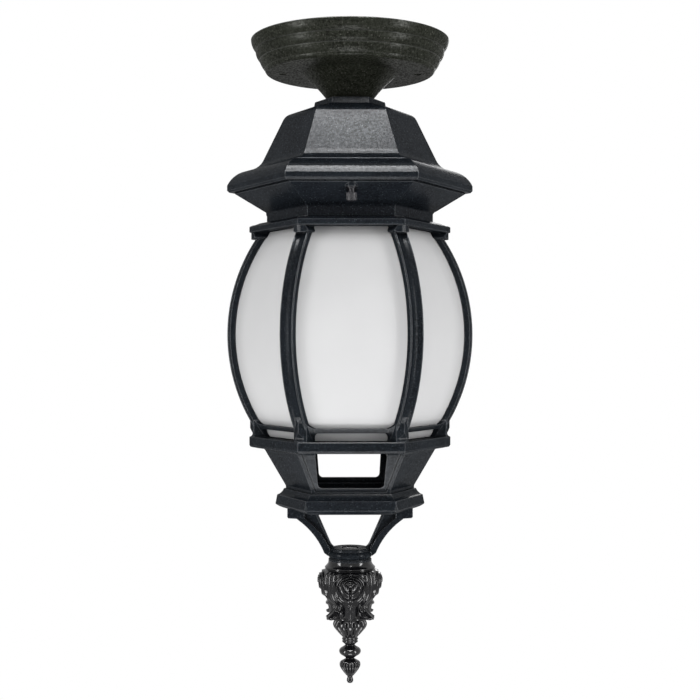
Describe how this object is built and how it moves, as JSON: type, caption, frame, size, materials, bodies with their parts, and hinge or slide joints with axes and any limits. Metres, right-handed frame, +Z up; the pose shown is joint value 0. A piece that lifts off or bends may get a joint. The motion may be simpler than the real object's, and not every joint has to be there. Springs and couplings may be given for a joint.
{
  "type": "ceiling lantern",
  "caption": "Six-sided cast porch lantern under a round stepped ceiling canopy: bell roof, bowed cage with bent panes that comes off on thumb screws, and an ornate drop finial.",
  "frame": {"origin": "centre of the canopy's upper rim, on the ceiling", "axes": "+Z up into the ceiling; -Y out of the front face; two of the lantern's six corners lie on the X axis"},
  "size_m": [0.1964, 0.174, 0.5134],
  "materials": {
    "canopy_paint": "satin black paint on a cast canopy",
    "lantern_paint": "fine-textured black powder coat on castings",
    "finial_paint": "glossy black paint on a casting",
    "foam": "closed-cell foam",
    "terminal_plastic": "matt nylon",
    "brass": "plain brass",
    "zinc_steel": "zinc-plated steel",
    "black_steel": "black steel",
    "spring_steel": "bright spring steel",
    "porcelain": "white glaze",
    "wire_brown": "insulated wire",
    "wire_blue": "insulated wire",
    "wire_green": "insulated wire",
    "pane_glass": "clear bent glass"
  },
  "bodies": {
    "fixed_part": {"canopy": "canopy_paint", "canopy_gasket": "foam", "terminal_block": "terminal_plastic", "terminal_screws": "brass", "earth_screw": "brass", "stem_nipple": "zinc_steel", "stem_washer": "zinc_steel", "stem_top_nut": "zinc_steel", "stem_bottom_nut": "zinc_steel", "roof": "lantern_paint", "lampholder_bracket": "zinc_steel", "bracket_screws": "zinc_steel", "lampholder_body": "porcelain", "lampholder_shell": "brass", "lampholder_contact": "brass", "live_wire": "wire_brown", "neutral_wire": "wire_blue", "earth_wire": "wire_green"},
    "cage": {"collar": "lantern_paint", "collar_screws": "zinc_steel", "cage_top_rim": "lantern_paint", "rib_1": "lantern_paint", "rib_2": "lantern_paint", "rib_3": "lantern_paint", "rib_4": "lantern_paint", "rib_5": "lantern_paint", "rib_6": "lantern_paint", "glass_panel_1": "pane_glass", "glass_panel_2": "pane_glass", "glass_panel_3": "pane_glass", "glass_panel_4": "pane_glass", "glass_panel_5": "pane_glass", "glass_panel_6": "pane_glass", "panel_clips": "spring_steel", "glass_rails": "lantern_paint", "rib_screws_top": "black_steel", "rib_screws_bottom": "black_steel", "cage_bottom_rim": "lantern_paint", "skirt": "lantern_paint", "skirt_screws": "black_steel", "base_ring": "lantern_paint", "base_screws": "black_steel", "finial_bracket": "lantern_paint", "finial_bracket_screws": "black_steel", "finial": "finial_paint", "finial_stud": "zinc_steel", "finial_nut": "zinc_steel"},
    "thumb_1": {"thumb_screw_1": "black_steel"},
    "thumb_2": {"thumb_screw_2": "black_steel"},
    "thumb_3": {"thumb_screw_3": "black_steel"}
  },
  "joints": [
    {"name": "cage_drop", "type": "slide", "parent": "fixed_part", "child": "cage", "axis": [0, 0, -1], "range_m": [0, 0.15]},
    {"name": "thumb_turn_1", "type": "hinge", "parent": "cage", "child": "thumb_1", "pos_m": [0, -0.07504, -0.1302], "axis": [0, 0, 1], "continuous": true},
    {"name": "thumb_turn_2", "type": "hinge", "parent": "cage", "child": "thumb_2", "pos_m": [0.06499, 0.03752, -0.1302], "axis": [0, 0, 1], "continuous": true},
    {"name": "thumb_turn_3", "type": "hinge", "parent": "cage", "child": "thumb_3", "pos_m": [-0.06499, 0.03752, -0.1302], "axis": [0, 0, 1], "continuous": true}
  ]
}
